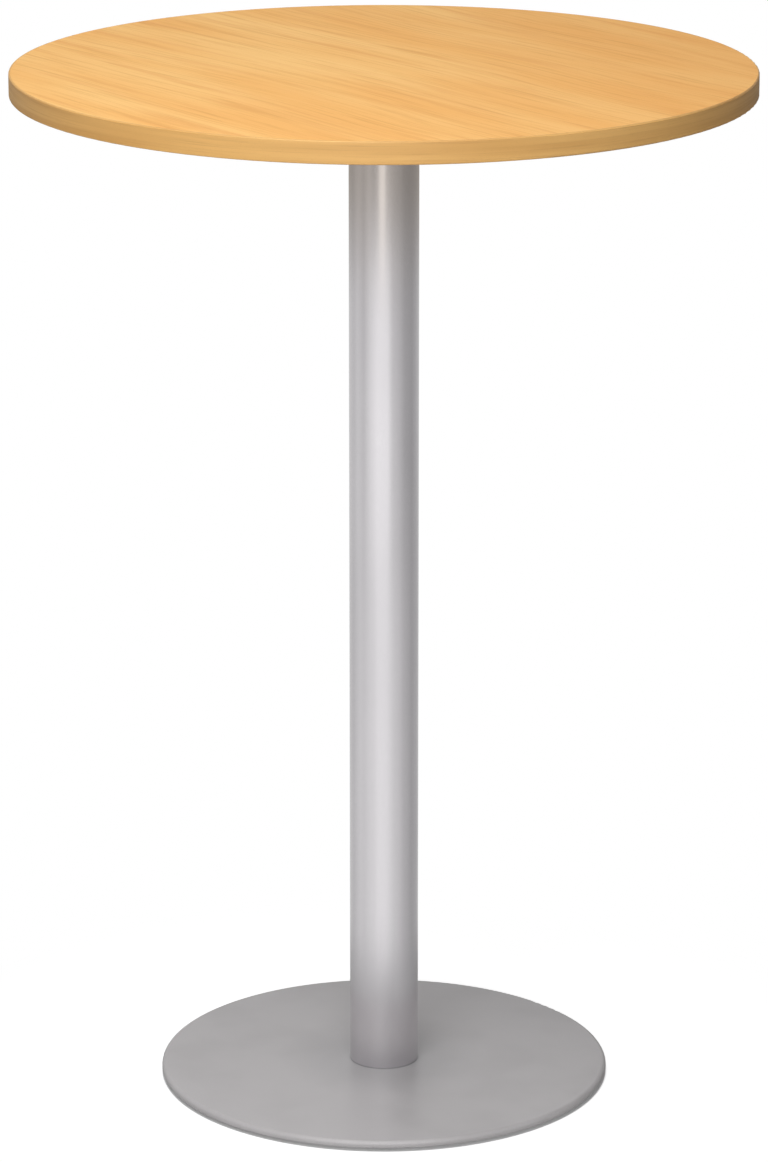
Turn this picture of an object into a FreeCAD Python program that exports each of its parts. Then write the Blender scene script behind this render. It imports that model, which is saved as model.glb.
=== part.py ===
import FreeCAD, Part
import itertools
import math
import os

import Sketcher

# A round standing-height table. A laminated board with a plastic edge band rests on a pressed steel
# bracket with four arms. The bracket is bolted to a disc in the head of a tubular column, and a disc
# in the column's foot is bolted to a flat round steel plate. Four screw-in glides level the plate.
# The table's axis is Z, and Z is zero on the floor.

# Driving dimensions, in millimetres.
SIZES = {
    # The board
    "top_diameter": 800,
    "core_thickness": 22,
    "laminate_thickness": 1,
    "band_thickness": 2,
    "band_rounding": 1.5,
    "band_seam": 0.3,
    # The pressed steel bracket under the board
    "bracket_sheet": 4,
    "bracket_bend": 1.5,
    "hub_diameter": 116,
    "arm_reach": 172,
    "arm_root_width": 52,
    "arm_tip_width": 34,
    "arm_root_depth": 20,
    "arm_tip_depth": 8,
    "arm_clearance": 4,
    "arm_tip_rounding": 6,
    # The column and the discs in its two ends
    "column_diameter": 76,
    "column_wall": 2,
    "column_length": 1100,
    "disc_thickness": 12,
    "disc_clearance": 0.1,
    # The base plate
    "plate_diameter": 500,
    "plate_thickness": 8,
    "plate_top_rounding": 5,
    "plate_foot_rounding": 1,
    # Countersunk bolts between the bracket and the column's head
    "head_bolt": 6,
    "head_bolt_head": 12,
    "head_bolt_length": 16,
    "head_bolt_socket": 4,
    "head_bolt_socket_depth": 2.2,
    "head_bolt_circle": 44,
    # Countersunk bolts between the base plate and the column's foot
    "foot_bolt": 8,
    "foot_bolt_head": 16,
    "foot_bolt_length": 20,
    "foot_bolt_socket": 5,
    "foot_bolt_socket_depth": 2.8,
    "foot_bolt_circle": 44,
    # Pan-head screws that hold the bracket to the board
    "screw": 5,
    "screw_head": 10,
    "screw_head_height": 3,
    "screw_head_rounding": 1.8,
    "screw_length": 20,
    "screw_point": 3,
    "screw_past_hub": 34,
    "screw_from_tip": 20,
    # The glides under the base plate
    "glide_from_rim": 40,
    "pad_diameter": 32,
    "pad_height": 4,
    "pad_rounding": 1,
    "pad_floor": 1.2,
    "flute_radius": 4,
    "flute_depth": 0.8,
    "stud": 8,
    "stud_reach": 6,
    "stud_head": 14,
    "stud_head_thickness": 1.4,
    # Clearances
    "thread_clearance": 0.05,
    "pad_clearance": 0.1,
    "hole_clearance": 0.2,
    "blind_hole_gap": 0.5,
    "thread_chamfer": 0.8,
    "overrun": 1,
}
# The directions in which the arms, bolts, screws and glides stand round the table's axis.
QUARTERS = ((1, 0), (0, 1), (-1, 0), (0, -1))
FLUTE_COUNT = 8
FULL_TURN = 360
COUNTERSINK_ANGLE = 90
# The corner of a hexagon lies this share of its width across flats from the middle.
HEXAGON_CORNER_SHARE = 1 / math.sqrt(3)
# Two lengths count as the same if they differ by less than this share of them.
SAME_SHARE = 1e-6

Vector = FreeCAD.Vector
UP = Vector(0, 0, 1)


class Size(float):
    """A length that knows the sheet formula it comes from, so that a feature can be bound to it."""

    def __new__(cls, value, formula):
        size = super().__new__(cls, value)
        size.formula = formula
        return size

    def _with(self, other, sign, value):
        return Size(value, f"({self.formula} {sign} {formula_of(other)})")

    def __add__(self, other):
        return self._with(other, "+", float(self) + float(other))

    def __sub__(self, other):
        return self._with(other, "-", float(self) - float(other))

    def __mul__(self, other):
        return self._with(other, "*", float(self) * float(other))

    def __truediv__(self, other):
        return self._with(other, "/", float(self) / float(other))

    def __neg__(self):
        return Size(-float(self), f"(-{self.formula})")


def formula_of(value):
    return value.formula if isinstance(value, Size) else repr(value)


doc = FreeCAD.newDocument("StandingTable")
sheet = doc.addObject("Spreadsheet::Sheet", "Sizes")
for row, (alias, value) in enumerate(SIZES.items(), start=1):
    sheet.set(f"A{row}", alias)
    sheet.set(f"B{row}", str(value))
    sheet.setAlias(f"B{row}", alias)
doc.recompute()


def size(alias):
    return Size(SIZES[alias], f"Sizes.{alias}")


# Heights above the floor at which the stack's pieces begin, and the board's own thickness.
PLATE_BOTTOM = size("pad_height")
COLUMN_BOTTOM = PLATE_BOTTOM + size("plate_thickness")
COLUMN_TOP = COLUMN_BOTTOM + size("column_length")
BOARD_BOTTOM = COLUMN_TOP + size("bracket_sheet")
BOARD_THICKNESS = size("core_thickness") + size("laminate_thickness") * 2
CORE_RADIUS = size("top_diameter") / 2 - size("band_thickness")
SCREW_HOLE = size("screw") + size("thread_clearance") * 2
SCREW_CIRCLES = [
    size("hub_diameter") + size("screw_past_hub") * 2,
    size("arm_reach") * 2 - size("screw_from_tip") * 2,
]
GLIDE_CIRCLE = size("plate_diameter") - size("glide_from_rim") * 2


def new_body(name, height=None):
    """Starts a piece. Its own zero is set at a height above the floor."""
    body = doc.addObject("PartDesign::Body", name)
    body.Label = name
    if height is not None:
        body.setExpression(".Placement.Base.z", height.formula)
    return body


def datum(body, role):
    """One of the body's own origin planes or axes."""
    return next(feature for feature in body.Origin.OriginFeatures if feature.Role == role)


def new_sketch(body, name, plane, offset=None):
    """A sketch on an origin plane, or on a plane parallel to it at an offset along its normal."""
    sketch = body.newObject("Sketcher::SketchObject", f"{body.Name}_{name}")
    sketch.AttachmentSupport = (datum(body, plane), [""])
    sketch.MapMode = "FlatFace"
    if offset is not None:
        sketch.setExpression(".AttachmentOffset.Base.z", offset.formula)
    return sketch


def constrain(sketch, kind, *places, value):
    """Adds a dimension to a sketch and binds it to the sheet."""
    index = sketch.addConstraint(Sketcher.Constraint(kind, *places, float(value)))
    sketch.setExpression(f"Constraints[{index}]", formula_of(value))


def pin_point(sketch, element, point, x, y):
    """Fixes a point of a sketch element at its distances from the sketch's origin."""
    for kind, axis, value in (("DistanceX", -2, x), ("DistanceY", -1, y)):
        if value == 0:
            sketch.addConstraint(Sketcher.Constraint("PointOnObject", element, point, axis))
        else:
            constrain(sketch, kind, -1, 1, element, point, value=value)


def add_circle(sketch, x, y, diameter):
    circle = Part.Circle(Vector(float(x), float(y), 0), UP, float(diameter) / 2)
    element = sketch.addGeometry(circle, False)
    pin_point(sketch, element, 3, x, y)
    constrain(sketch, "Diameter", element, value=diameter)


def round_corner(corner, before, after, radius):
    """The arc that rounds a corner, the points where it meets the two sides, and its own sense."""
    to_before = (before - corner).normalize()
    to_after = (after - corner).normalize()
    half_angle = to_before.getAngle(to_after) / 2
    reach = radius / math.tan(half_angle)
    middle = corner + (to_before + to_after).normalize() * (radius / math.sin(half_angle))
    entry = corner + to_before * reach
    leave = corner + to_after * reach
    turns_left = (corner - before).cross(after - corner).z > 0
    first, last = (entry, leave) if turns_left else (leave, entry)
    start_angle = math.atan2(first.y - middle.y, first.x - middle.x)
    end_angle = math.atan2(last.y - middle.y, last.x - middle.x)
    arc = Part.ArcOfCircle(Part.Circle(middle, UP, radius), start_angle, end_angle)
    return arc, entry, leave, turns_left


def draw_outline(sketch, corners):
    """Draws a closed outline. A corner is (x, y), or (x, y, radius) where it is rounded."""
    count = len(corners)
    points = [Vector(float(corner[0]), float(corner[1]), 0) for corner in corners]
    rounded = {}
    starts, ends = list(points), points[1:] + points[:1]
    for i, corner in enumerate(corners):
        if len(corner) == 3:
            radius = float(corner[2])
            arc, entry, leave, turns_left = round_corner(
                points[i], points[i - 1], points[(i + 1) % count], radius
            )
            rounded[i] = (arc, turns_left)
            ends[i - 1], starts[i] = entry, leave
    sides = [
        sketch.addGeometry(Part.LineSegment(starts[i], ends[i]), False) for i in range(count)
    ]
    for i, corner in enumerate(corners):
        before, after = sides[i - 1], sides[i]
        if i not in rounded:
            sketch.addConstraint(Sketcher.Constraint("Coincident", before, 2, after, 1))
            pin_point(sketch, after, 1, corner[0], corner[1])
            continue
        arc, turns_left = rounded[i]
        bend = sketch.addGeometry(arc, False)
        entry, leave = (1, 2) if turns_left else (2, 1)
        sketch.addConstraint(Sketcher.Constraint("Tangent", before, 2, bend, entry))
        sketch.addConstraint(Sketcher.Constraint("Tangent", bend, leave, after, 1))
        constrain(sketch, "Radius", bend, value=corner[2])
        tip = sketch.addGeometry(Part.Point(points[i]), True)
        pin_point(sketch, tip, 1, corner[0], corner[1])
        sketch.addConstraint(Sketcher.Constraint("PointOnObject", tip, 1, before))
        sketch.addConstraint(Sketcher.Constraint("PointOnObject", tip, 1, after))


def pad(body, sketch, length):
    feature = body.newObject("PartDesign::Pad", f"{sketch.Name}_pad")
    feature.Profile = sketch
    feature.setExpression("Length", length.formula)
    return feature


def pocket(body, sketch, depth, upwards):
    """Cuts a sketch into the piece, down from the sketch or up from it."""
    feature = body.newObject("PartDesign::Pocket", f"{sketch.Name}_pocket")
    feature.Profile = sketch
    feature.Reversed = upwards
    feature.setExpression("Length", depth.formula)
    return feature


def revolve(body, sketch):
    """Turns a sketch about its own upright axis."""
    feature = body.newObject("PartDesign::Revolution", f"{sketch.Name}_turned")
    feature.Profile = sketch
    feature.ReferenceAxis = (sketch, ["V_Axis"])
    feature.Angle = FULL_TURN
    return feature


def countersunk_hole(body, sketch, bore, mouth, upwards):
    """A countersunk hole right through the piece at each circle of the sketch."""
    doc.recompute()
    feature = body.newObject("PartDesign::Hole", f"{sketch.Name}_hole")
    feature.Profile = sketch
    feature.Reversed = upwards
    feature.DepthType = "ThroughAll"
    feature.HoleCutType = "Countersink"
    feature.HoleCutCountersinkAngle = COUNTERSINK_ANGLE
    feature.setExpression("Diameter", bore.formula)
    feature.setExpression("HoleCutDiameter", mouth.formula)
    return feature


def repeat_round(body, features, count=len(QUARTERS)):
    """Repeats features evenly about the piece's own Z axis."""
    pattern = body.newObject("PartDesign::PolarPattern", f"{features[0].Name}_round")
    pattern.Originals = features
    pattern.Axis = (datum(body, "Z_Axis"), [""])
    pattern.Angle = FULL_TURN
    pattern.Occurrences = count
    body.Tip = pattern


def round_circles(body, base, radius, height, rounding, name):
    """Rounds the circular edges of a given radius that lie at a given height."""
    doc.recompute()
    near = radius * SAME_SHARE
    names = [
        f"Edge{i}"
        for i, edge in enumerate(base.Shape.Edges, start=1)
        if isinstance(edge.Curve, Part.Circle)
        and abs(edge.Curve.Radius - float(radius)) < near
        and abs(edge.Curve.Center.z - height) < near
    ]
    feature = body.newObject("PartDesign::Fillet", f"{body.Name}_{name}")
    feature.Base = (base, names)
    feature.setExpression("Radius", rounding.formula)
    return feature


def disc(name, height, diameter, thickness):
    """A plain round disc, and the feature that makes it."""
    body = new_body(name, height)
    sketch = new_sketch(body, "outline", "XY_Plane")
    add_circle(sketch, 0, 0, diameter)
    return body, pad(body, sketch, thickness)


def ring_of_holes(body, name, circles, diameter, depth):
    """Plain holes up into a piece from its underside, on one or more pitch circles."""
    sketch = new_sketch(body, name, "XY_Plane")
    for circle in circles:
        add_circle(sketch, circle / 2, 0, diameter)
    repeat_round(body, [pocket(body, sketch, depth, upwards=True)])


def ring_of_bolt_holes(body, bolt, plane_height, upwards):
    """Countersunk holes right through a piece, on the pitch circle of its bolts."""
    sketch = new_sketch(body, "bolts", "XY_Plane", plane_height)
    bore = size(bolt) + size("hole_clearance") * 2
    mouth = size(f"{bolt}_head") + size("hole_clearance") * 2
    add_circle(sketch, size(f"{bolt}_circle") / 2, 0, bore)
    repeat_round(body, [countersunk_hole(body, sketch, bore, mouth, upwards)])


def stand_on_circle(body, circle, direction):
    """Moves a piece out to its place on a pitch circle."""
    for axis, share in zip("xy", direction):
        place = circle / 2 * share
        body.setExpression(f".Placement.Base.{axis}", place.formula)


def make_top_core():
    """The chipboard core, with a pilot hole for each screw."""
    body, _ = disc(
        "top_core", BOARD_BOTTOM + size("laminate_thickness"), CORE_RADIUS * 2, size("core_thickness")
    )
    reach = size("screw_length") - size("bracket_sheet") - size("laminate_thickness")
    depth = reach + size("blind_hole_gap")
    ring_of_holes(body, "pilots", SCREW_CIRCLES, SCREW_HOLE, depth)
    return body


def make_top_laminate():
    """The decor sheet on the board's upper face."""
    height = BOARD_BOTTOM + size("laminate_thickness") + size("core_thickness")
    body, _ = disc("top_laminate", height, CORE_RADIUS * 2, size("laminate_thickness"))
    return body


def make_backing_laminate():
    """The balancing sheet on the board's underside, drilled for the screws."""
    thickness = size("laminate_thickness")
    body, _ = disc("backing_laminate", BOARD_BOTTOM, CORE_RADIUS * 2, thickness)
    ring_of_holes(body, "screws", SCREW_CIRCLES, SCREW_HOLE, thickness + size("overrun"))
    return body


def make_edge_band():
    """The plastic band glued round the board. Its two ends meet in a seam at the back."""
    body = new_body("edge_band", BOARD_BOTTOM)
    sketch = new_sketch(body, "section", "XZ_Plane")
    outer = size("top_diameter") / 2
    rounding = size("band_rounding")
    draw_outline(
        sketch,
        [
            (CORE_RADIUS, 0),
            (outer, 0, rounding),
            (outer, BOARD_THICKNESS, rounding),
            (CORE_RADIUS, BOARD_THICKNESS),
        ],
    )
    revolve(body, sketch)
    seam = new_sketch(body, "seam", "XY_Plane")
    half = size("band_seam") / 2
    inside = CORE_RADIUS - size("overrun")
    outside = outer + size("overrun")
    draw_outline(seam, [(-half, inside), (half, inside), (half, outside), (-half, outside)])
    pocket(body, seam, BOARD_THICKNESS + size("overrun"), upwards=True)
    return body


def channel_section(sketch, width, depth):
    """The cross-section of an arm: a web on top and a flange bent down along each side."""
    web = size("bracket_sheet")
    half = width / 2
    bottom = web - depth
    inner = size("bracket_bend")
    outer = inner + web
    draw_outline(
        sketch,
        [
            (-half, bottom),
            (-half + web, bottom),
            (-half + web, 0, inner),
            (half - web, 0, inner),
            (half - web, bottom),
            (half, bottom),
            (half, web, outer),
            (-half, web, outer),
        ],
    )


def make_bracket():
    """The pressed steel bracket: a hub and four tapering channel arms that carry the board."""
    sheet_thickness = size("bracket_sheet")
    body, _ = disc("bracket", COLUMN_TOP, size("hub_diameter"), sheet_thickness)
    root_at = size("column_diameter") / 2 + size("arm_clearance")
    root = new_sketch(body, "arm_root", "YZ_Plane", root_at)
    channel_section(root, size("arm_root_width"), size("arm_root_depth"))
    tip = new_sketch(body, "arm_tip", "YZ_Plane", size("arm_reach"))
    channel_section(tip, size("arm_tip_width"), size("arm_tip_depth"))
    arm = body.newObject("PartDesign::AdditiveLoft", "bracket_arm")
    arm.Profile = root
    arm.Sections = [tip]
    arm.Ruled = True
    trim = trim_arm_tip(body, root_at)
    repeat_round(body, [arm, trim])
    ring_of_bolt_holes(body, "head_bolt", sheet_thickness, upwards=False)
    screw_hole = size("screw") + size("hole_clearance") * 2
    ring_of_holes(body, "screws", SCREW_CIRCLES, screw_hole, sheet_thickness + size("overrun"))
    return body


def trim_arm_tip(body, root_at):
    """Cuts away what lies outside an arm's plan, which has a rounded corner on each side of its tip."""
    reach = size("arm_reach")
    root_half = size("arm_root_width") / 2
    tip_half = size("arm_tip_width") / 2
    corner = size("arm_tip_rounding")
    beyond = size("overrun")
    outside = root_half + beyond
    sketch = new_sketch(body, "tip_trim", "XY_Plane", size("bracket_sheet"))
    draw_outline(
        sketch,
        [
            (root_at, root_half),
            (reach, tip_half, corner),
            (reach, -tip_half, corner),
            (root_at, -root_half),
            (root_at, -outside),
            (reach + beyond, -outside),
            (reach + beyond, outside),
            (root_at, outside),
        ],
    )
    return pocket(body, sketch, size("arm_root_depth"), upwards=False)


def make_end_disc(name, height, bolt):
    """The thick disc welded into one end of the column, tapped for the bolts."""
    diameter = size("column_diameter") - size("column_wall") * 2 - size("disc_clearance") * 2
    body, _ = disc(name, height, diameter, size("disc_thickness"))
    tapped = size(bolt) + size("thread_clearance") * 2
    depth = size("disc_thickness") + size("overrun")
    ring_of_holes(body, "tapped", [size(f"{bolt}_circle")], tapped, depth)
    return body


def make_column():
    body = new_body("column_tube", COLUMN_BOTTOM)
    sketch = new_sketch(body, "wall", "XY_Plane")
    add_circle(sketch, 0, 0, size("column_diameter"))
    add_circle(sketch, 0, 0, size("column_diameter") - size("column_wall") * 2)
    pad(body, sketch, size("column_length"))
    return body


def make_base_plate():
    """The round steel plate, with its bolt holes sunk from below and blind holes for the glides."""
    thickness = size("plate_thickness")
    radius = size("plate_diameter") / 2
    body, blank = disc("base_plate", PLATE_BOTTOM, size("plate_diameter"), thickness)
    softened = round_circles(body, blank, radius, thickness, size("plate_top_rounding"), "top_edge")
    round_circles(body, softened, radius, 0, size("plate_foot_rounding"), "foot_edge")
    ring_of_bolt_holes(body, "foot_bolt", None, upwards=True)
    tapped = size("stud") + size("thread_clearance") * 2
    depth = size("stud_reach") + size("blind_hole_gap")
    ring_of_holes(body, "glides", [GLIDE_CIRCLE], tapped, depth)
    return body


def make_bolt(bolt, number, direction, height, sign):
    """A countersunk bolt with a hexagon socket. It points up from its head, or down if sign is -1."""
    shank = size(bolt) / 2
    head = size(f"{bolt}_head") / 2
    length = size(f"{bolt}_length")
    chamfer = size("thread_chamfer")
    body = new_body(f"{bolt}_{number}", height)
    sketch = new_sketch(body, "half", "XZ_Plane")
    draw_outline(
        sketch,
        [
            (0, 0),
            (head, 0),
            (shank, (head - shank) * sign),
            (shank, (length - chamfer) * sign),
            (shank - chamfer, length * sign),
            (0, length * sign),
        ],
    )
    revolve(body, sketch)
    hexagon = new_sketch(body, "socket", "XY_Plane")
    corner = size(f"{bolt}_socket") * HEXAGON_CORNER_SHARE
    flat = size(f"{bolt}_socket") / 2
    draw_outline(
        hexagon,
        [
            (corner, 0),
            (corner / 2, flat),
            (-corner / 2, flat),
            (-corner, 0),
            (-corner / 2, -flat),
            (corner / 2, -flat),
        ],
    )
    pocket(body, hexagon, size(f"{bolt}_socket_depth"), upwards=sign > 0)
    stand_on_circle(body, size(f"{bolt}_circle"), direction)
    return body


def make_board_screw(number, circle, direction):
    """A pan-head screw through an arm, up into the board."""
    body = new_body(f"board_screw_{number}", COLUMN_TOP)
    shank = size("screw") / 2
    head = size("screw_head") / 2
    head_bottom = -size("screw_head_height")
    length = size("screw_length")
    sketch = new_sketch(body, "half", "XZ_Plane")
    draw_outline(
        sketch,
        [
            (0, head_bottom),
            (head, head_bottom, size("screw_head_rounding")),
            (head, 0),
            (shank, 0),
            (shank, length - size("screw_point")),
            (0, length),
        ],
    )
    revolve(body, sketch)
    stand_on_circle(body, circle, direction)
    return body


def make_glide_pad(number, direction):
    """The plastic foot that turns with its stud. Its rim is fluted for the fingers."""
    body = new_body(f"glide_pad_{number}")
    sketch = new_sketch(body, "half", "XZ_Plane")
    play = size("pad_clearance")
    neck = size("stud") / 2 + play
    head = size("stud_head") / 2 + play
    head_bottom = size("pad_floor") - play
    head_top = size("pad_floor") + size("stud_head_thickness") + play
    rim = size("pad_diameter") / 2
    height = size("pad_height")
    draw_outline(
        sketch,
        [
            (0, 0),
            (rim, 0, size("pad_rounding")),
            (rim, height),
            (neck, height),
            (neck, head_top),
            (head, head_top),
            (head, head_bottom),
            (0, head_bottom),
        ],
    )
    revolve(body, sketch)
    flute = new_sketch(body, "flute", "XY_Plane")
    flute_radius = size("flute_radius")
    add_circle(flute, rim + flute_radius - size("flute_depth"), 0, flute_radius * 2)
    repeat_round(body, [pocket(body, flute, height, upwards=True)], FLUTE_COUNT)
    stand_on_circle(body, GLIDE_CIRCLE, direction)
    return body


def make_glide_stud(number, direction):
    """The steel stud that screws into the base plate. The plastic foot holds its flat head."""
    body = new_body(f"glide_stud_{number}")
    sketch = new_sketch(body, "half", "XZ_Plane")
    shank = size("stud") / 2
    head = size("stud_head") / 2
    head_bottom = size("pad_floor")
    head_top = head_bottom + size("stud_head_thickness")
    end = PLATE_BOTTOM + size("stud_reach")
    chamfer = size("thread_chamfer")
    draw_outline(
        sketch,
        [
            (0, head_bottom),
            (head, head_bottom),
            (head, head_top),
            (shank, head_top),
            (shank, end - chamfer),
            (shank - chamfer, end),
            (0, end),
        ],
    )
    revolve(body, sketch)
    stand_on_circle(body, GLIDE_CIRCLE, direction)
    return body


def make_table():
    pieces = [
        make_top_core(),
        make_top_laminate(),
        make_backing_laminate(),
        make_edge_band(),
        make_bracket(),
        make_end_disc("head_disc", COLUMN_TOP - size("disc_thickness"), "head_bolt"),
        make_column(),
        make_end_disc("foot_disc", COLUMN_BOTTOM, "foot_bolt"),
        make_base_plate(),
    ]
    for number, direction in enumerate(QUARTERS, start=1):
        pieces.append(make_bolt("head_bolt", number, direction, BOARD_BOTTOM, -1))
        pieces.append(make_bolt("foot_bolt", number, direction, PLATE_BOTTOM, 1))
        pieces.append(make_glide_pad(number, direction))
        pieces.append(make_glide_stud(number, direction))
    for number, (circle, direction) in enumerate(itertools.product(SCREW_CIRCLES, QUARTERS), start=1):
        pieces.append(make_board_screw(number, circle, direction))
    return pieces


def check_cuts():
    """Stops the build if a cut points away from its piece and removes nothing."""
    for feature in doc.Objects:
        if feature.TypeId in ("PartDesign::Pocket", "PartDesign::Hole"):
            if feature.Shape.Volume >= feature.BaseFeature.Shape.Volume:
                raise RuntimeError(f"{feature.Name} cuts nothing")


def check_states():
    for feature in doc.Objects:
        if "Invalid" in feature.State or "Error" in feature.State:
            raise RuntimeError(f"{feature.Name} failed: {feature.State}")


def export(pieces):
    os.makedirs("parts", exist_ok=True)
    for piece in pieces:
        if piece.Shape.isNull() or not piece.Shape.isValid():
            raise RuntimeError(f"{piece.Label} has no valid shape")
        piece.Shape.exportStep(f"parts/{piece.Label}.step")


table = make_table()
doc.recompute()
check_states()
check_cuts()
export(table)
for piece in table:
    box = piece.Shape.optimalBoundingBox(False)
    print(
        f"{piece.Label}: {len(piece.Shape.Solids)} solids, {piece.Shape.Volume:.1f} mm3, "
        f"z {box.ZMin:.2f} to {box.ZMax:.2f}, width {box.XLength:.2f}"
    )
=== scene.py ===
import math

import bpy
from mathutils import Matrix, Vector


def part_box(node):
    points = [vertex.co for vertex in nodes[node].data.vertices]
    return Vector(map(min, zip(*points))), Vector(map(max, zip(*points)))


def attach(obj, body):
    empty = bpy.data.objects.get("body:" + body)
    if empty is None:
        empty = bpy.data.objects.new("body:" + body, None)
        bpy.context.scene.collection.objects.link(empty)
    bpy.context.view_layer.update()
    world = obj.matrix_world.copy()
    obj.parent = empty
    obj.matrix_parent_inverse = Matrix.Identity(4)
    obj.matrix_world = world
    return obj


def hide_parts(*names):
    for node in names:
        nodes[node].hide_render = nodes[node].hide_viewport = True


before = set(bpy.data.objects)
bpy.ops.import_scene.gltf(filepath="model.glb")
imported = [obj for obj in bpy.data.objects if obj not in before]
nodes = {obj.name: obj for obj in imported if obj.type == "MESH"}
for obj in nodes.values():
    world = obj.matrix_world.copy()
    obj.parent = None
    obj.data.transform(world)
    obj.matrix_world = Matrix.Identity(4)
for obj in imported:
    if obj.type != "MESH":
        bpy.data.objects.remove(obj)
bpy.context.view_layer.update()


def colour(red, green, blue):
    """A colour as the eye reads it, from 0 to 255, in the shader's terms."""
    shares = []
    for part in (red, green, blue):
        share = part / 255
        if share <= 0.04045:
            shares.append(share / 12.92)
        else:
            shares.append(((share + 0.055) / 1.055) ** 2.4)
    return (*shares, 1.0)


def grey(light):
    """An even grey in the shader's terms."""
    return (light, light, light, 1.0)


# sizes and heights of the table that the looks and the small parts here go by, in metres
TOP_RADIUS = 0.4
COLUMN_RADIUS = 0.038
PLATE_RADIUS = 0.25
PLATE_TOP = 0.012
PLATE_UNDERSIDE = 0.004
ARM_UNDERSIDE = 1.112
ARM_TOP = 1.116

# the grain's turn from the table's right, and the numbers of what there is once in each quarter
GRAIN_TURN = math.radians(52)
QUARTERS = (1, 2, 3, 4)

# what counts as the same place and as level when faces and edges are picked
HAIR = 0.00002
NEARLY_LEVEL = 0.99
# how near points are merged, and under which angle between two faces their edge is shaded smooth
MERGE_WITHIN = 0.000001
SMOOTH_UNDER = math.radians(32)

# the colours of the finishes
BEECH_PALE = colour(252, 201, 124)
BEECH_WARM = colour(246, 185, 104)
BEECH_RUST = colour(231, 161, 83)
BEECH_LINE = colour(206, 144, 77)
BAND_PALE = colour(227, 178, 107)
BAND_WARM = colour(211, 160, 92)
BAND_LINE = colour(184, 133, 75)
TUBE_SILVER = colour(222, 219, 222)
TUBE_FLAKE = colour(232, 229, 232)
TUBE_DIM = colour(216, 213, 216)
PLATE_SILVER = colour(190, 187, 188)
PLATE_FLAKE = colour(200, 197, 198)
PLATE_DIM = colour(184, 181, 182)
# painted shade for the corner where the column meets the plate
PAINTED_CORNER_SHADE = colour(116, 118, 121)
SHEET_PALE = colour(232, 229, 222)
SHEET_DUSTY = colour(226, 222, 213)
SHEET_FIBRE = colour(210, 204, 192)
CHIP_PALE = colour(214, 182, 132)
CHIP_DARK = colour(150, 112, 70)
BLACK_COAT = colour(34, 34, 36)
BLACK_COAT_WORN = colour(54, 54, 56)
STEEL = colour(150, 151, 153)
STEEL_DULL = colour(118, 116, 112)
ZINC = colour(196, 198, 200)
ZINC_YELLOWED = colour(178, 178, 168)
PLASTIC = colour(24, 24, 25)
PLASTIC_RUBBED = colour(52, 52, 52)


class Shading:
    """A tree of shader nodes and short ways to fill it."""

    def __init__(self, tree):
        self.tree = tree

    def node(self, kind, **settings):
        """A new node with its settings."""
        made = self.tree.nodes.new(kind)
        for name, value in settings.items():
            setattr(made, name, value)
        return made

    def feed(self, target, value):
        """Joins a node's output to a socket, or sets a plain number or colour on it."""
        if isinstance(value, bpy.types.NodeSocket):
            self.tree.links.new(value, target)
        else:
            target.default_value = value

    def combine(self, operation, first, second):
        """One number worked out from two."""
        made = self.node("ShaderNodeMath", operation=operation)
        self.feed(made.inputs[0], first)
        self.feed(made.inputs[1], second)
        return made.outputs["Value"]

    def spread(self, value, low, high, to_low=0.0, to_high=1.0, way="SMOOTHSTEP"):
        """Takes the range from low to high to the range from to_low to to_high, smoothly unless told."""
        made = self.node("ShaderNodeMapRange", interpolation_type=way)
        self.feed(made.inputs["Value"], value)
        self.feed(made.inputs["From Min"], low)
        self.feed(made.inputs["From Max"], high)
        self.feed(made.inputs["To Min"], to_low)
        self.feed(made.inputs["To Max"], to_high)
        return made.outputs["Result"]

    def blend(self, share, first, second):
        """One colour laid over another by a share."""
        made = self.node("ShaderNodeMix", data_type="RGBA")
        self.feed(made.inputs["Factor"], share)
        self.feed(made.inputs["A"], first)
        self.feed(made.inputs["B"], second)
        return made.outputs["Result"]

    def background_rays(self):
        """One for the rays that see the white background: from the camera, off gloss and through glass."""
        path = self.node("ShaderNodeLightPath").outputs
        seen = self.combine("MAXIMUM", path["Is Camera Ray"], path["Is Glossy Ray"])
        return self.combine("MAXIMUM", seen, path["Is Transmission Ray"])


class Surface(Shading):
    """A material that knows where its points lie on the table."""

    def __init__(self, name):
        self.material = bpy.data.materials.new(name)
        self.material.use_nodes = True
        super().__init__(self.material.node_tree)

    def find_coordinates(self):
        """Takes the coordinates from the object itself, so that the finish moves with its piece."""
        self.coordinates = self.node("ShaderNodeTexCoord").outputs["Object"]

    def parts(self):
        """How far a point lies to the right, to the back and upwards."""
        split = self.node("ShaderNodeSeparateXYZ")
        self.feed(split.inputs["Vector"], self.coordinates)
        return split.outputs["X"], split.outputs["Y"], split.outputs["Z"]

    def height(self):
        """How high a point stands above the floor."""
        return self.parts()[2]

    def reach(self):
        """How far a point stands from the upright axis."""
        level = self.node("ShaderNodeVectorMath", operation="MULTIPLY")
        self.feed(level.inputs[0], self.coordinates)
        self.feed(level.inputs[1], (1, 1, 0))
        length = self.node("ShaderNodeVectorMath", operation="LENGTH")
        self.feed(length.inputs[0], level.outputs["Vector"])
        return length.outputs["Value"]

    def turn(self):
        """How far round the axis a point stands, from the front towards the right, in radians."""
        right, back, _ = self.parts()
        return self.combine("ARCTAN2", right, self.combine("MULTIPLY", back, -1))


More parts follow.
